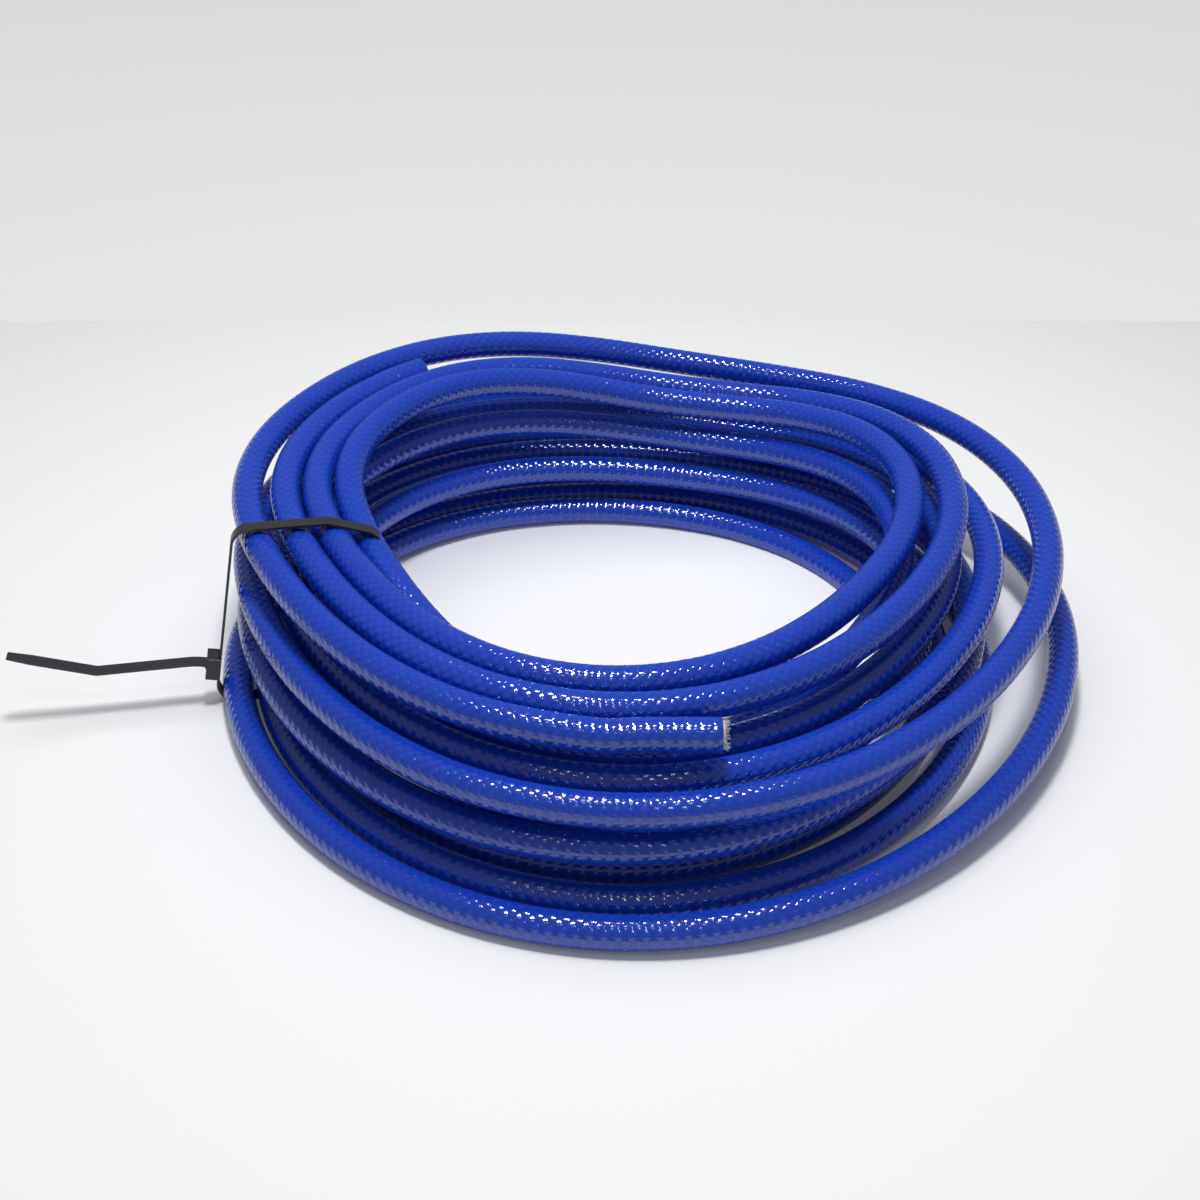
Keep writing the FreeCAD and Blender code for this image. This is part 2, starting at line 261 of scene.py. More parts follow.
@dataclass(frozen=True)
class CoverFinish:
    """Glossy blue cover, thin enough for the braid under it to show as relief, with painted shade in the
    grooves between its strands.
    """

    name: str = "cover_blue_gloss"
    high_colour: Colour = (0.007, 0.056, 0.530)
    # Painted shade: the darker blue that the cover takes in the grooves between the braid's strands.
    groove_shade_colour: Colour = (0.005, 0.042, 0.420)
    dust_colour: Colour = (0.060, 0.120, 0.560)
    dust_share: float = 0.06
    roughness: float = 0.1
    unevenness: float = 0.06
    refraction: float = 1.72
    braid_pitch: float = 0.0059
    braid_strands: float = 8.0
    braid_threads: float = 4.0
    thread_share: float = 0.12
    crown: float = 1.3
    arch: float = 0.7
    rib: float = 0.08
    relief: float = 0.00030
    marks_scale: float = 22.0

    def make(self, wear: bpy.types.NodeTree, braid: bpy.types.NodeTree) -> bpy.types.Material:
        """Build the material.

        Args:
            wear: The handling_marks group.
            braid: The braid_relief group.

        Returns:
            The material.
        """
        material, g, shader = plain_material(self.name)
        along = g.add("ShaderNodeAttribute", attribute_name="along").outputs["Fac"]
        round_way = g.add("ShaderNodeAttribute", attribute_name="round").outputs["Vector"]
        weave = {
            "Along": along,
            "Round": round_way,
            "Pitch": self.braid_pitch,
            "Strands": self.braid_strands,
            "Threads": self.braid_threads,
            "Thread Share": self.thread_share,
            "Crown": self.crown,
            "Arch": self.arch,
            "Rib": self.rib,
        }
        relief = g.add("ShaderNodeGroup", weave, node_tree=braid)
        handling = {"Scale": self.marks_scale, "Roughness": self.roughness, "Unevenness": self.unevenness}
        marks = g.add("ShaderNodeGroup", handling, node_tree=wear)
        # Painted shade: the cover's colour darkens towards the grooves between the braid's strands.
        body = g.tint(relief.outputs["Groove"], rgba(self.high_colour), rgba(self.groove_shade_colour))
        dusty = g.math("MULTIPLY", marks.outputs["Dust"], self.dust_share)
        colour = g.tint(dusty, body, rgba(self.dust_colour))
        g.tree.links.new(colour, shader.inputs["Base Color"])
        g.tree.links.new(marks.outputs["Roughness"], shader.inputs["Roughness"])
        g.tree.links.new(g.bump(relief.outputs["Height"], self.relief), shader.inputs["Normal"])
        shader.inputs["IOR"].default_value = self.refraction
        return material


@dataclass(frozen=True)
class MouldedFinish:
    """A moulded plastic with a faint grain: the nylon of the tie, or the cream liner."""

    name: str
    colour: Colour
    worn_colour: Colour
    roughness: float
    grain: float
    marks_scale: float = 60.0
    unevenness: float = 0.2
    dust_share: float = 0.25
    grain_scale: float = 2600.0

    def make(self, wear: bpy.types.NodeTree) -> bpy.types.Material:
        """Build the material.

        Args:
            wear: The handling_marks group.

        Returns:
            The material.
        """
        material, g, shader = plain_material(self.name)
        handling = {"Scale": self.marks_scale, "Roughness": self.roughness, "Unevenness": self.unevenness}
        marks = g.add("ShaderNodeGroup", handling, node_tree=wear)
        share = g.math("MULTIPLY", marks.outputs["Dust"], self.dust_share)
        colour = g.tint(share, rgba(self.colour), rgba(self.worn_colour))
        place = g.add("ShaderNodeTexCoord").outputs["Object"]
        grain = g.noise(place, self.grain_scale, 2.0)
        g.tree.links.new(colour, shader.inputs["Base Color"])
        g.tree.links.new(marks.outputs["Roughness"], shader.inputs["Roughness"])
        g.tree.links.new(g.bump(grain, self.grain), shader.inputs["Normal"])
        return material


LINER_FINISH = MouldedFinish(
    name="liner_cream_plastic",
    colour=(0.62, 0.58, 0.46),
    worn_colour=(0.75, 0.73, 0.66),
    roughness=0.4,
    grain=0.00002,
)
TIE_FINISH = MouldedFinish(
    name="tie_black_nylon",
    colour=(0.026, 0.027, 0.032),
    worn_colour=(0.12, 0.12, 0.13),
    roughness=0.38,
    grain=0.00003,
)


@dataclass(frozen=True)
class YarnFinish:
    """White polyester yarn: the braid's cut edge and its frayed ends."""

    name: str = "braid_yarn_white"
    colour: Colour = (0.72, 0.71, 0.68)
    shade_colour: Colour = (0.42, 0.42, 0.44)
    roughness: float = 0.85
    sheen: float = 0.3
    thread_scale: float = 1800.0
    shade_from: float = 0.35
    shade_to: float = 0.65
    relief: float = 0.00012

    def make(self) -> bpy.types.Material:
        """Build the material.

        Returns:
            The material.
        """
        material, g, shader = plain_material(self.name)
        place = g.add("ShaderNodeTexCoord").outputs["Object"]
        threads = g.noise(place, self.thread_scale, 3.0)
        share = g.spread(threads, self.shade_from, self.shade_to)
        colour = g.tint(share, rgba(self.shade_colour), rgba(self.colour))
        g.tree.links.new(colour, shader.inputs["Base Color"])
        g.tree.links.new(g.bump(threads, self.relief), shader.inputs["Normal"])
        shader.inputs["Roughness"].default_value = self.roughness
        shader.inputs["Sheen Weight"].default_value = self.sheen
        return material


@dataclass(frozen=True)
class StageFinish:
    """A pale studio surface, which looks paler to the camera and in reflections than it is."""

    name: str
    colour: Colour
    glow: float
    glow_colour: Colour = (1.0, 1.0, 1.0)
    roughness: float = 0.6
    shine: float = 0.2

    def make(self) -> bpy.types.Material:
        """Build the material.

        Returns:
            The material.
        """
        material, g, shader = plain_material(self.name)
        shader.inputs["Base Color"].default_value = rgba(self.colour)
        shader.inputs["Roughness"].default_value = self.roughness
        shader.inputs["Specular IOR Level"].default_value = self.shine
        shader.inputs["Emission Color"].default_value = rgba(self.glow_colour)
        g.tree.links.new(g.math("MULTIPLY", seen_share(g), self.glow), shader.inputs["Emission Strength"])
        return material


# Small tools.


def keep_piece(piece: bpy.types.Object, slot: str, *nodes: str) -> bpy.types.Object:
    """Let a finished piece ride on the coil, and hide the frame's nodes that it replaces.

    Args:
        piece: The finished piece.
        slot: A material slot; not used.
        nodes: The nodes that it replaces.

    Returns:
        The same piece.
    """
    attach(piece, COIL_BODY)
    if nodes:
        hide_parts(*nodes)
    log.info("%s: %d faces", piece.name, len(piece.data.polygons))
    return piece


def middle_of(node: str) -> Vector:
    """Return the middle of the box of one of the frame's nodes."""
    low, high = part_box(node)
    return (Vector(low) + Vector(high)) / 2


def mesh_object(name: str, mesh: bpy.types.Mesh, material: bpy.types.Material) -> bpy.types.Object:
    """Put a mesh in the scene as an object at the origin, with one material.

    Args:
        name: The object's name.
        mesh: Its mesh.
        material: Its only material.

    Returns:
        The object.
    """
    mesh.name = name
    mesh.materials.clear()
    mesh.materials.append(material)
    piece = bpy.data.objects.new(name, mesh)
    bpy.context.collection.objects.link(piece)
    return piece


def evaluated_mesh(carrier: bpy.types.Object) -> bpy.types.Mesh:
    """Return what an object and its modifiers make, as a plain mesh."""
    bpy.context.view_layer.update()
    graph = bpy.context.evaluated_depsgraph_get()
    return bpy.data.meshes.new_from_object(carrier.evaluated_get(graph), depsgraph=graph)


def grown(carrier: bpy.types.Object, tree: bpy.types.NodeTree, values: dict[str, Any]) -> bpy.types.Mesh:
    """Run a geometry node tree on an object and return the result as a plain mesh.

    Args:
        carrier: The object that the tree starts from. Its modifier is taken away again.
        tree: The geometry node tree.
        values: For each named input of the tree, its value.

    Returns:
        The mesh.
    """
    modifier = carrier.modifiers.new(tree.name, "NODES")
    modifier.node_group = tree
    for item in tree.interface.items_tree:
        if item.in_out == "INPUT" and item.name in values:
            modifier[item.identifier] = values[item.name]
    mesh = evaluated_mesh(carrier)
    carrier.modifiers.remove(modifier)
    return mesh


# The hose and its coil.


@dataclass
class CoilRoute:
    """The way that the hose takes: its loops, from the free end to the tucked end.

    A loop's column counts outward and its layer counts upward. The legs give the quarter turn at
    which each one ends, with the column and the layer there. Sizes are in metres.
    """

    hose_radius: float = 0.008
    floor_height: float = 0.0064
    free_run: float = 0.054
    tucked_run: float = 0.024
    loop_pitch: float = 0.017
    loop_fan: float = 0.007
    layer_rise: float = 0.024
    layer_fan: float = 0.008
    bundle_columns: float = 3.0
    coil_radius: float = 0.188
    radius_loss_per_layer: float = 0.0065
    loose_swell: float = 0.014
    swell_from_layer: float = 0.6
    coil_shift_left: float = 0.016
    coil_shift_back: float = 0.007
    lean_left_per_layer: float = 0.004
    lean_back_per_layer: float = 0.008
    lobes: int = 3
    lobe_depth: float = 0.005
    lobe_growth_per_layer: float = 0.0015
    lobe_draw_in: float = 0.4
    lobe_azimuth: float = 270.0
    dip_per_layer: float = 0.007
    dip_azimuth: float = 65.0
    dip_narrowness: int = 12
    room_per_layer: float = 0.0026
    room_azimuth: float = 150.0
    room_narrowness: int = 26
    loose_sway: float = 0.0008
    sway_turn: float = 2.4
    tie_azimuth: float = 190.0
    high_azimuth: float = 104.0
    tie_lift: float = 0.0035
    lining_middle: float = 0.009975
    tucked_way: tuple[float, float, float] = (0.7411, 0.6711, 0.0180)
    steps_per_quarter: int = 6
    smoothing: int = 12
    quarters_near_end: int = 3
    legs: Legs = (
        (0, 2.5, 3.0),
        (1, 3.0, 3.0),
        (2, 3.05, 3.0),
        (3, 3.5, 2.35),
        (4, 3.05, 2.0),
        (15, 0.3, 2.0),
        (16, 0.05, 1.45),
        (17, 0.25, 1.0),
        (26, 2.9, 1.0),
        (27, 4.1, 0.7),
        (28, 3.15, 0.0),
        (39, 0.35, 0.0),
        (40, -1.05, 1.5),
        (41, -0.2, 3.0),
        (51, 2.3, 3.0),
    )

    def __post_init__(self) -> None:
        """Find how far the coil is moved so that it lies where the frame's hose lies."""
        middle = middle_of("liner_free_end")
        self.shift = Vector((0.0, 0.0, 0.0))
        drawn = self.place(0.0) + Vector((self.free_run - self.lining_middle, 0.0, 0.0))
        self.shift = Vector((middle.x - drawn.x, middle.y - drawn.y, 0.0))

    def at_station(self, quarter: int) -> tuple[float, float]:
        """Return the column and layer at a whole quarter turn."""
        for (start, c0, k0), (end, c1, k1) in zip(self.legs, self.legs[1:]):
            if quarter <= end:
                share = (quarter - start) / (end - start)
                return c0 + (c1 - c0) * share, k0 + (k1 - k0) * share
        return self.legs[-1][1:]

    def column_and_layer(self, quarter: float) -> tuple[float, float]:
        """Return the column and layer at any place, eased from one quarter turn to the next."""
        last = self.legs[-1][0]
        here = min(int(quarter), last - 1)
        t = quarter - here
        near = [self.at_station(max(0, min(last, here + i))) for i in (-1, 0, 1, 2)]
        eased = []
        for a, b, c, d in zip(*near):
            cubic = 3 * b - a - 3 * c + d
            square = 2 * a - 5 * b + 4 * c - d
            eased.append(0.5 * (2 * b + (c - a) * t + square * t * t + cubic * t ** 3))
        return eased[0], eased[1]

    @staticmethod
    def near(azimuth: float, middle: float, narrowness: int) -> float:
        """Return 1 at one side of the coil, falling smoothly to nothing away from it.

        Args:
            azimuth: The place, in radians.
            middle: The azimuth of that side, in degrees.
            narrowness: The higher it is, the sooner the value falls.

        Returns:
            A value from 0 to 1.
        """
        return ((1 + math.cos(azimuth - math.radians(middle))) / 2) ** narrowness

    def place(self, quarter: float) -> Vector:
        """Return the middle of the hose after so many quarter turns.

        Args:
            quarter: Quarter turns from the free end's straight run.

        Returns:
            The place in the frame.
        """
        column, layer = self.column_and_layer(quarter)
        azimuth = math.radians(270 - 90 * quarter)
        loose = (1 - math.cos(azimuth - math.radians(self.tie_azimuth))) / 2
        high = (1 + math.cos(azimuth - math.radians(self.high_azimuth))) / 2
        pitch = self.loop_pitch + self.loop_fan * loose
        sway = self.loose_sway * loose * math.sin(self.sway_turn * quarter)
        inner = self.coil_radius - self.radius_loss_per_layer * layer
        swell = self.loose_swell * (layer - self.swell_from_layer) * loose ** 2
        lobe = math.cos(self.lobes * (azimuth - math.radians(self.lobe_azimuth))) - self.lobe_draw_in
        bulge = swell + (self.lobe_depth + self.lobe_growth_per_layer * layer) * lobe
        bulge -= self.room_per_layer * layer * self.near(azimuth, self.room_azimuth, self.room_narrowness)
        dip = self.dip_per_layer * self.near(azimuth, self.dip_azimuth, self.dip_narrowness)
        radius = inner + (column - self.bundle_columns / 2) * pitch + sway + bulge
        across = -self.coil_shift_left - self.lean_left_per_layer * layer + radius * math.cos(azimuth)
        back = self.coil_shift_back + self.lean_back_per_layer * layer + radius * math.sin(azimuth)
        rise = layer * (self.layer_rise + self.layer_fan * high - dip) + self.tie_lift * (1 - loose) ** 2
        return Vector((across, back, self.floor_height + rise)) + self.shift

    def face(self, end: End) -> tuple[Vector, Vector]:
        """Return the middle of a cut face and the way that it looks, where the frame has it."""
        way = Vector((1.0, 0.0, 0.0)) if end is End.FREE else Vector(self.tucked_way).normalized()
        return middle_of("liner_" + end.value) + way * self.lining_middle, way

    def control_points(self) -> list[Vector]:
        """Return the points of the hose's spline, straight at its two ends."""
        free, free_way = self.face(End.FREE)
        tucked, tucked_way = self.face(End.TUCKED)
        points = [free - free_way * (self.free_run * share) for share in (0.0, 1 / 3, 2 / 3)]
        # A smooth spline cuts the corners of its points, so they stand a little further out.
        reach = 1 / math.cos(math.radians(45 / self.steps_per_quarter))
        centre = Vector((-self.coil_shift_left, self.coil_shift_back, 0.0)) + self.shift
        # The last whole step lies where the tucked end's straight run begins.
        start_of_run = tucked - tucked_way * self.tucked_run
        number = 0
        while True:
            point = self.place(number / self.steps_per_quarter)
            if number > self.steps_per_quarter * (self.legs[-1][0] - self.quarters_near_end):
                left = (start_of_run - point).dot(tucked_way)
                near = (start_of_run - point).length < self.coil_radius
                if near and left < self.tucked_run / 2:
                    break
            point.x = centre.x + (point.x - centre.x) * reach
            point.y = centre.y + (point.y - centre.y) * reach
            points.append(point)
            number += 1
        points += [tucked - tucked_way * (self.tucked_run * share) for share in (1.0, 0.5, 0.0)]
        return points

    def spline(self) -> bpy.types.Object:
        """Make the hose's route as a smooth curve.

        Returns:
            A curve object with one open spline and no thickness.
        """
        points = self.control_points()
        curve = bpy.data.curves.new("hose_route", "CURVE")
        curve.dimensions = "3D"
        line = curve.splines.new("NURBS")
        line.points.add(len(points) - 1)
        for knot, place in zip(line.points, points):
            knot.co = (*place, 1.0)
        line.order_u = 3
        line.use_endpoint_u = True
        line.resolution_u = self.smoothing
        route = bpy.data.objects.new("hose_route", curve)
        bpy.context.collection.objects.link(route)
        return route


def tube_tree() -> bpy.types.NodeTree:
    """Make the tree that sweeps a round tube along a curve.

    It keeps the way along as the attribute "along" and the way round as "round", and presses the
    tube flat where it lies on the floor.

    Returns:
        A geometry node tree.
    """
    tree = bpy.data.node_groups.new("hose_tube", "GeometryNodeTree")
    socket(tree, "Geometry", "INPUT", "Geometry")
    socket(tree, "Radius", "INPUT", "Float", 0.008)
    socket(tree, "Sides", "INPUT", "Int", 24)
    socket(tree, "Floor", "INPUT", "Float", 0.0)
    socket(tree, "Material", "INPUT", "Material")
    socket(tree, "Geometry", "OUTPUT", "Geometry")
    g = Graph(tree)
    given = g.add("NodeGroupInput").outputs
    kept = g.add("GeometryNodeCaptureAttribute", {"Geometry": given["Geometry"]}, domain="POINT")
    kept.capture_items.new("FLOAT", "Along")
    length = g.add("GeometryNodeSplineParameter").outputs["Length"]
    g.tree.links.new(length, kept.inputs["Along"])
    ring = g.add(
        "GeometryNodeCurvePrimitiveCircle",
        {"Resolution": given["Sides"], "Radius": given["Radius"]},
        mode="RADIUS",
    ).outputs["Curve"]
    turned = g.add("GeometryNodeCaptureAttribute", {"Geometry": ring}, domain="POINT")
    turned.capture_items.new("VECTOR", "Round")
    g.tree.links.new(g.add("GeometryNodeInputPosition").outputs[0], turned.inputs["Round"])
    line, profile = kept.outputs["Geometry"], turned.outputs["Geometry"]
    swept = g.add(
        "GeometryNodeCurveToMesh",
        {"Curve": line, "Profile Curve": profile, "Fill Caps": False},
    ).outputs["Mesh"]
    stored = g.add(
        "GeometryNodeStoreNamedAttribute",
        {"Geometry": swept, "Name": "along", "Value": kept.outputs["Along"]},
        data_type="FLOAT",
        domain="POINT",
    ).outputs[0]
    stored = g.add(
        "GeometryNodeStoreNamedAttribute",
        {"Geometry": stored, "Name": "round", "Value": turned.outputs["Round"]},
        data_type="FLOAT_VECTOR",
        domain="POINT",
    ).outputs[0]
    place = g.add("ShaderNodeSeparateXYZ", {0: g.add("GeometryNodeInputPosition").outputs[0]}).outputs
    raised = g.math("MAXIMUM", place[2], given["Floor"])
    pressed = g.add("ShaderNodeCombineXYZ", {0: place[0], 1: place[1], 2: raised}).outputs[0]
    laid = g.add("GeometryNodeSetPosition", {"Geometry": stored, "Position": pressed}).outputs[0]
    smooth = g.add("GeometryNodeSetShadeSmooth", {"Geometry": laid, "Shade Smooth": True}).outputs[0]
    real = g.add("GeometryNodeRealizeInstances", {"Geometry": smooth}).outputs[0]
    dressed = g.add("GeometryNodeSetMaterial", {"Geometry": real, "Material": given["Material"]}).outputs[0]
    g.add("NodeGroupOutput", {"Geometry": dressed})
    return tree


def fray_tree() -> bpy.types.NodeTree:
    """Make the tree that grows cut yarn ends round a circle.

    Returns:
        A geometry node tree.
    """
    points_to_a_yarn, sides_to_a_yarn = 6, 6
    root, shortest, thinnest, lean, stir_scale = -0.5, 0.35, 0.45, 0.5, 900.0
    tree = bpy.data.node_groups.new("frayed_yarns", "GeometryNodeTree")
    socket(tree, "Geometry", "INPUT", "Geometry")
    socket(tree, "Ring Radius", "INPUT", "Float", 0.006)
    socket(tree, "Count", "INPUT", "Int", 60)
    socket(tree, "Reach", "INPUT", "Float", 0.002)
    socket(tree, "Thickness", "INPUT", "Float", 0.0002)
    socket(tree, "Curl", "INPUT", "Float", 0.001)
    socket(tree, "Seed", "INPUT", "Int", 1)
    socket(tree, "Material", "INPUT", "Material")
    socket(tree, "Geometry", "OUTPUT", "Geometry")
    g = Graph(tree)
    given = g.add("NodeGroupInput").outputs
    ring = g.add("GeometryNodeMeshCircle", {"Vertices": given["Count"], "Radius": given["Ring Radius"]})
    yarn = g.add("GeometryNodeCurvePrimitiveLine", {"Start": (0, 0, root), "End": (0, 0, 1.0)}).outputs[0]
    yarn = g.add("GeometryNodeResampleCurve", {"Curve": yarn, "Count": points_to_a_yarn}).outputs[0]
    length = g.add(
        "FunctionNodeRandomValue",
        {2: shortest, 3: 1.0, "Seed": given["Seed"]},
        data_type="FLOAT",
    ).outputs[1]
    tall = g.math("MULTIPLY", length, given["Reach"])
    size = g.add("ShaderNodeCombineXYZ", {0: tall, 1: tall, 2: tall}).outputs[0]
    leaning = g.add(
        "FunctionNodeRandomValue",
        {0: (-lean, -lean, -lean), 1: (lean, lean, lean), "Seed": given["Seed"]},
        data_type="FLOAT_VECTOR",
    ).outputs[0]
    stood = g.add(
        "GeometryNodeInstanceOnPoints",
        {"Points": ring.outputs[0], "Instance": yarn, "Rotation": leaning, "Scale": size},
    ).outputs[0]
    standing = g.add("GeometryNodeRealizeInstances", {"Geometry": stood}).outputs[0]
    here = g.add("GeometryNodeInputPosition").outputs[0]
    stir = g.add(
        "ShaderNodeTexNoise",
        {"Vector": here, "W": given["Seed"], "Scale": stir_scale, "Detail": 1.0},
        noise_dimensions="4D",
    ).outputs["Color"]
    stir = g.add("ShaderNodeVectorMath", {0: stir, 1: (0.5, 0.5, 0.5)}, operation="SUBTRACT").outputs[0]
    share = g.add("GeometryNodeSplineParameter").outputs["Factor"]
    curl = g.math("MULTIPLY", g.math("MULTIPLY", share, share), given["Curl"])
    push = g.add("ShaderNodeVectorMath", {0: stir, "Scale": curl}, operation="SCALE").outputs[0]
    bent = g.add("GeometryNodeSetPosition", {"Geometry": standing, "Offset": push}).outputs[0]
    taper = g.spread(share, 0.0, 1.0, 1.0, thinnest)
    section = g.add(
        "GeometryNodeCurvePrimitiveCircle",
        {"Resolution": sides_to_a_yarn, "Radius": given["Thickness"]},
        mode="RADIUS",
    ).outputs[0]
    swept = g.add(
        "GeometryNodeCurveToMesh",
        {"Curve": bent, "Profile Curve": section, "Fill Caps": True, "Scale": taper},
    ).outputs[0]
    smooth = g.add("GeometryNodeSetShadeSmooth", {"Geometry": swept, "Shade Smooth": True}).outputs[0]
    real = g.add("GeometryNodeRealizeInstances", {"Geometry": smooth}).outputs[0]
    dressed = g.add("GeometryNodeSetMaterial", {"Geometry": real, "Material": given["Material"]}).outputs[0]
    g.add("NodeGroupOutput", {"Geometry": dressed})
    return tree


@dataclass
class Hose:
    """The hose: its cover along the whole route, hollow at both cut ends."""

    route: CoilRoute
    length: float = 14.22
    sides: int = 24
    wall_radius: float = 0.00635
    bore_radius: float = 0.00475
    lining_depth: float = 0.02
    bore_depth: float = 0.042
    closing_ratio: float = 20.0
    points: list[Vector] = field(default_factory=list)

    def build(self, material: bpy.types.Material) -> bpy.types.Object:
        """Sweep the cover along the route and open its ends.

        Args:
            material: The cover's finish.

        Returns:
            The cover's piece.
        """
        line = self.route.spline()
        centreline = evaluated_mesh(line)
        self.points = [vertex.co.copy() for vertex in centreline.vertices]
        bpy.data.meshes.remove(centreline)
        sizes = {"Radius": self.route.hose_radius, "Sides": self.sides, "Floor": 0.0, "Material": material}
        mesh = grown(line, tube_tree(), sizes)
        bpy.data.objects.remove(line)
        self.open_ends(mesh)
        piece = mesh_object("hose_cover_tube", mesh, material)
        return keep_piece(piece, "cover_blue", "hose_cover")

    def open_ends(self, mesh: bpy.types.Mesh) -> None:
        """Give each open end of the tube its cut face and the walls of its bore.

        Args:
            mesh: The swept tube, changed in place.
        """
        body = bmesh.new()
        body.from_mesh(mesh)
        along = body.verts.layers.float["along"]
        for end in End:
            centre, way = self.route.face(end)
            rim = [
                edge
                for edge in body.edges
                if edge.is_boundary and (edge.verts[0].co - centre).length < 2 * self.route.hose_radius
            ]
            steps = (
                (self.wall_radius, 0.0),
                (self.wall_radius, self.lining_depth),
                (self.bore_radius, self.lining_depth),
                (self.bore_radius, self.bore_depth),
                (self.bore_radius / self.closing_ratio, self.bore_depth),
            )
            for radius, depth in steps:
                made = bmesh.ops.extrude_edge_only(body, edges=rim)["geom"]
                rim = [item for item in made if isinstance(item, bmesh.types.BMEdge) and item.is_boundary]
                for vertex in {vertex for edge in rim for vertex in edge.verts}:
                    out = vertex.co - centre
                    out = (out - way * out.dot(way)).normalized()
                    vertex.co = centre + out * radius - way * depth
                    vertex[along] = vertex[along] + depth
                for face in {face for edge in rim for face in edge.link_faces}:
                    face.smooth = depth > 0.0
        bmesh.ops.holes_fill(body, edges=[edge for edge in body.edges if edge.is_boundary], sides=0)
        bmesh.ops.recalc_face_normals(body, faces=body.faces)
        body.to_mesh(mesh)
        body.free()


@dataclass
class CutEnd:
    """What shows at a cut end of the hose: the liner, the braid's edge and its frayed yarns."""

    route: CoilRoute
    end: End
    seed: int
    fray_reach: float
    fray_count: int
    braid_out: float = 0.0063
    braid_in: float = 0.0057
    liner_out: float = 0.00565
    liner_in: float = 0.00475
    depth: float = 0.0199
    braid_stands_out: float = 0.0011
    braid_wobble: float = 0.0002
    liner_wobble: float = 0.00008
    yarn: float = 0.00027
    curl: float = 0.0030
    segments: int = 48
    rounding: float = 0.00018

    def frame_of_end(self) -> Matrix:
        """Return the matrix from an end drawn round Z, with its face at z = 0, to its real place."""
        centre, way = self.route.face(self.end)
        return Matrix.Translation(centre) @ way.to_track_quat("Z", "Y").to_matrix().to_4x4()

    def turned_ring(self, outer: float, inner: float, top: float, wobble: float) -> bpy.types.Mesh:
        """Turn a ring with softened rims, a little uneven where it was cut.

        Args:
            outer: Outer radius.
            inner: Inner radius.
            top: Height of its cut face above the hose's own.
            wobble: How far the cut face strays.

        Returns:
            The mesh, in its place.
        """
        waves, ripples, ripple_share = 3, 7, 0.6
        r = self.rounding
        section = [
            (outer, -self.depth),
            (outer, top - r),
            (outer - r, top),
            (inner + r, top),
            (inner, top - r),
            (inner, -self.depth),
        ]
        body = bmesh.new()
        rings = []
        for k in range(self.segments):
            turn = math.tau * k / self.segments
            wave = math.sin(waves * turn + self.seed)
            ripple = math.sin(ripples * turn + 2 * self.seed)
            stray = wobble * (wave + ripple_share * ripple)
            ring = []
            for radius, height in section:
                lift = stray if height > -self.depth / 2 else 0.0
                flat = (radius * math.cos(turn), radius * math.sin(turn))
                ring.append(body.verts.new((*flat, height + lift)))
            rings.append(ring)
        for k, ring in enumerate(rings):
            after = rings[(k + 1) % self.segments]
            for j in range(len(section)):
                i = (j + 1) % len(section)
                body.faces.new((ring[j], after[j], after[i], ring[i])).smooth = True
        bmesh.ops.recalc_face_normals(body, faces=body.faces)
        mesh = bpy.data.meshes.new("ring")
        body.to_mesh(mesh)
        body.free()
        mesh.transform(self.frame_of_end())
        return mesh

    def frayed(self, tree: bpy.types.NodeTree, material: bpy.types.Material) -> bpy.types.Mesh:
        """Grow the cut yarns round the braid's edge.

        Args:
            tree: The frayed_yarns tree.
            material: The yarn's finish.

        Returns:
            The mesh, in its place.
        """
        seat = bpy.data.objects.new("fray_seat", bpy.data.meshes.new("fray_seat"))
        bpy.context.collection.objects.link(seat)
        sizes = {
            "Ring Radius": (self.braid_out + self.braid_in) / 2,
            "Count": self.fray_count,
            "Reach": self.fray_reach,
            "Thickness": self.yarn,
            "Curl": self.curl,
            "Seed": self.seed,
            "Material": material,
        }
        mesh = grown(seat, tree, sizes)
        bpy.data.objects.remove(seat)
        mesh.transform(self.frame_of_end())
        return mesh

    def build(
        self, yarns: bpy.types.NodeTree, cream: bpy.types.Material, white: bpy.types.Material
    ) -> list[bpy.types.Object]:
        """Build the pieces of this end.

        Args:
            yarns: The frayed_yarns tree.
            cream: The liner's finish.
            white: The yarn's finish.

        Returns:
            The liner, the braid and the frayed yarns.
        """
        word = self.end.value
        liner_ring = self.turned_ring(self.liner_out, self.liner_in, 0.0, self.liner_wobble)
        liner = mesh_object("liner_" + word + "_ring", liner_ring, cream)
        keep_piece(liner, "liner_cream", "liner_" + word)
        top, wobble = self.braid_stands_out, self.braid_wobble
        braid_ring = self.turned_ring(self.braid_out, self.braid_in, top, wobble)
        braid = mesh_object("braid_" + word + "_edge", braid_ring, white)
        keep_piece(braid, "braid_white", "braid_" + word)
        fray = mesh_object("braid_" + word + "_frayed", self.frayed(yarns, white), white)
        keep_piece(fray, "braid_white")
        return [liner, braid, fray]


@dataclass
class CableTie:
    """The cable tie, whose strap, head and pawl are the frame's own solids with a nylon finish."""

    tie_node: str = "cable_tie"
    pawl_node: str = "cable_tie_pawl"

    def dress(self, nylon: bpy.types.Material) -> None:
        """Give both nodes their finish.

        Args:
            nylon: The tie's finish.
        """
        for name in (self.tie_node, self.pawl_node):
            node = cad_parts[name]
            node.data.materials.clear()
            node.data.materials.append(nylon)
            log.info("%s: finish %s", name, nylon.name)


# The studio.


@dataclass(frozen=True)
class Lamp:
    """A rectangular softbox that looks at the middle of the coil. It may be kept out of reflections."""

    name: str
    place: tuple[float, float, float]
    size: tuple[float, float]
    power: float
    mirrored: bool = True

    def hang(self) -> None:
        """Put the lamp in the scene."""
        data = bpy.data.lights.new(self.name, "AREA")
        data.shape = "RECTANGLE"
        data.size, data.size_y = self.size
        data.energy = self.power
        lamp = bpy.data.objects.new(self.name, data)
        lamp.location = self.place
        lamp.rotation_euler = (-Vector(self.place)).to_track_quat("-Z", "Y").to_euler()
        bpy.context.collection.objects.link(lamp)
        if not self.mirrored:
            lamp.visible_camera = False
            lamp.visible_glossy = False


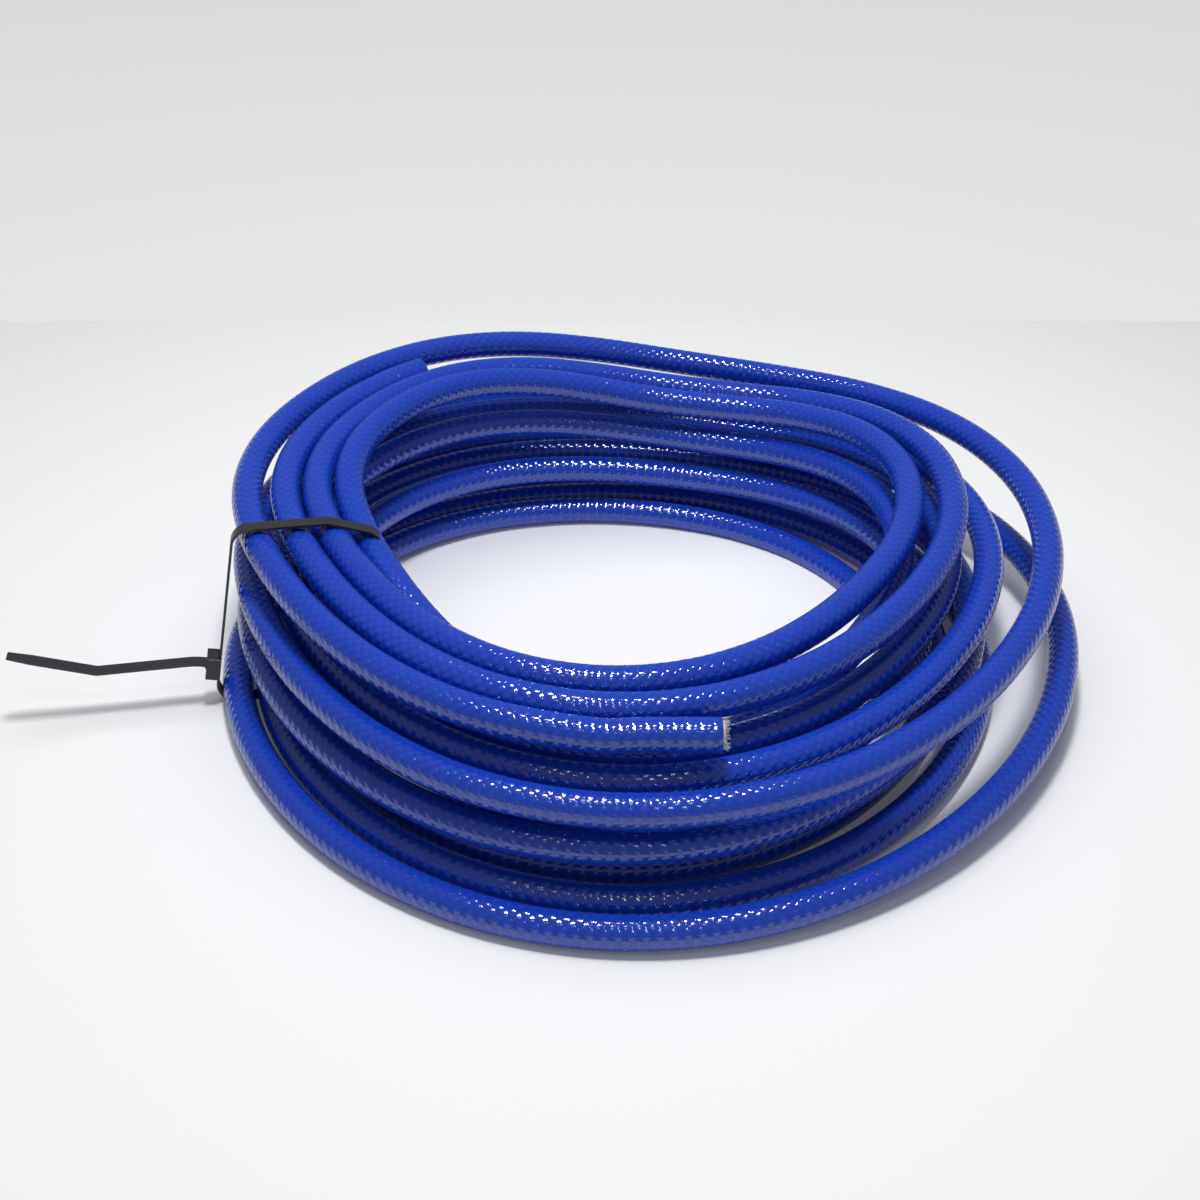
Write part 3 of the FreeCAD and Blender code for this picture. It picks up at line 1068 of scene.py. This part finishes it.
# Two lamps shine back from the hose, and the softboxes only fill the shadows.
LAMPS = (
    Lamp("lamp", (0.03, -0.08, 1.25), (0.20, 0.22), 9.0),
    Lamp("second_lamp", (0.0, -0.75, 1.3), (0.16, 0.16), 0.9),
    Lamp("ceiling_softbox", (-0.10, 0.62, 1.80), (1.8, 1.2), 15.5, mirrored=False),
    Lamp("front_softbox", (0.15, -1.30, 0.95), (1.0, 0.6), 1.6, mirrored=False),
)


@dataclass
class Studio:
    """The white floor with the pale grey ground behind it, the soft lights and the camera."""

    camera_place: tuple[float, float, float] = (0.0221, -0.7077, 0.4824)
    camera_pitch: float = 57.9
    lens: float = 45.9
    sensor_width: float = 36.0
    floor_sides: float = 0.90
    floor_front: float = -1.00
    floor_back: float = 0.50
    floor_colour: Colour = (0.88, 0.885, 0.89)
    floor_glow: float = 0.04
    ground_colour: Colour = (0.17, 0.173, 0.18)
    ground_glow: float = 0.64
    ground_reach: float = 8.0
    ground_depth: float = 0.002
    world_strength: float = 0.10
    world_seen: float = 0.66
    world_mirrored: float = 0.21

    def build(self) -> None:
        """Set up the camera, the stage and the lights."""
        self.camera()
        self.backdrop()
        for lamp in LAMPS:
            lamp.hang()
        self.world()
        scene = bpy.context.scene
        scene.view_settings.view_transform = "Standard"
        log.info("studio ready")

    def camera(self) -> None:
        """Stand the camera where the photograph was taken from."""
        data = bpy.data.cameras.new("photo_camera")
        data.lens = self.lens
        data.sensor_width = self.sensor_width
        data.dof.use_dof = False
        camera = bpy.data.objects.new("photo_camera", data)
        camera.location = self.camera_place
        camera.rotation_euler = (math.radians(self.camera_pitch), 0.0, 0.0)
        bpy.context.collection.objects.link(camera)
        bpy.context.scene.camera = camera

    def backdrop(self) -> None:
        """Lay the white floor on the grey ground, which the camera sees beyond the floor's edge."""
        white = StageFinish("floor_white", self.floor_colour, self.floor_glow).make()
        grey = StageFinish("ground_pale_grey", self.ground_colour, self.ground_glow).make()
        side, far = self.floor_sides, self.ground_reach
        self.sheet("studio_floor", (-side, side), (self.floor_front, self.floor_back), 0.0, white)
        self.sheet("studio_ground", (-far, far), (-far, far), -self.ground_depth, grey)

    def sheet(
        self,
        name: str,
        across: tuple[float, float],
        along: tuple[float, float],
        height: float,
        finish: bpy.types.Material,
    ) -> None:
        """Lay one flat sheet of the stage.

        Args:
            name: The sheet's name.
            across: Its ends in X.
            along: Its ends in Y.
            height: Its height.
            finish: Its finish.
        """
        (left, right), (near, far) = across, along
        corners = [(left, near, height), (right, near, height), (right, far, height), (left, far, height)]
        mesh = bpy.data.meshes.new(name)
        mesh.from_pydata(corners, [], [(0, 1, 2, 3)])
        mesh_object(name, mesh, finish)

    def world(self) -> None:
        """Make the room's faint light, which looks paler to the camera and in reflections."""
        world = bpy.data.worlds.new("room")
        world.use_nodes = True
        world.node_tree.nodes.clear()
        g = Graph(world.node_tree)
        ray = g.add("ShaderNodeLightPath").outputs
        strength = g.blend(ray["Is Glossy Ray"], self.world_strength, self.world_mirrored)
        strength = g.blend(ray["Is Camera Ray"], strength, self.world_seen)
        glow = g.add("ShaderNodeBackground", {"Color": (1, 1, 1, 1), "Strength": strength})
        g.add("ShaderNodeOutputWorld", {"Surface": glow.outputs[0]})
        bpy.context.scene.world = world


# The whole scene.


def write_sizes() -> None:
    """Log that the frame's box and the dressed object's box are not written.
    """
    log.info("sizes written")


def main() -> None:
    logging.basicConfig(level=logging.INFO, format="%(name)s %(message)s")
    wear = wear_group()
    braid = braid_group()
    Studio().build()
    blue = CoverFinish().make(wear, braid)
    cream = LINER_FINISH.make(wear)
    black = TIE_FINISH.make(wear)
    white = YarnFinish().make()
    route = CoilRoute()
    hose = Hose(route)
    cover = hose.build(blue)
    yarns = fray_tree()
    with_hose = []
    for cut in (
        CutEnd(route, End.FREE, seed=3, fray_reach=0.0036, fray_count=110),
        CutEnd(route, End.TUCKED, seed=8, fray_reach=0.0020, fray_count=70),
    ):
        with_hose += cut.build(yarns, cream, white)
    CableTie().dress(black)
    measured = sum((b - a).length for a, b in zip(hose.points, hose.points[1:]))
    log.info("hose length %.3f m over %d rings", measured, len(hose.points))
    write_sizes()


if __name__ == "__main__":
    main()
